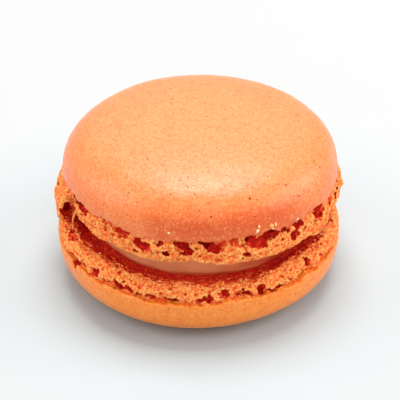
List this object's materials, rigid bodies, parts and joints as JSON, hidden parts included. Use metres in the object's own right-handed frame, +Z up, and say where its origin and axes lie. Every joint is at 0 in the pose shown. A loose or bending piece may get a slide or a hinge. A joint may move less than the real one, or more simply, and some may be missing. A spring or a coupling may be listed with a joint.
{
  "type": "french macaron",
  "caption": "Round sandwich biscuit: two smooth orange domed almond-meringue shells with ruffled feet, joined by a recessed band of pale cream filling.",
  "frame": {"origin": "middle of the footprint, on the surface the macaron lies on", "axes": "+Z up through both shells, along the macaron's height, its shortest side; -Y is the front"},
  "size_m": [0.0453, 0.046, 0.0266],
  "materials": {
    "shell": "satin-matte baked meringue crust, orange, with a fine grain and a rougher yellow-orange sponge foot",
    "filling": "smooth satin peach-coloured cream"
  },
  "bodies": {
    "root": {"lower_shell": "shell", "filling": "filling", "upper_shell": "shell"}
  },
  "joints": []
}
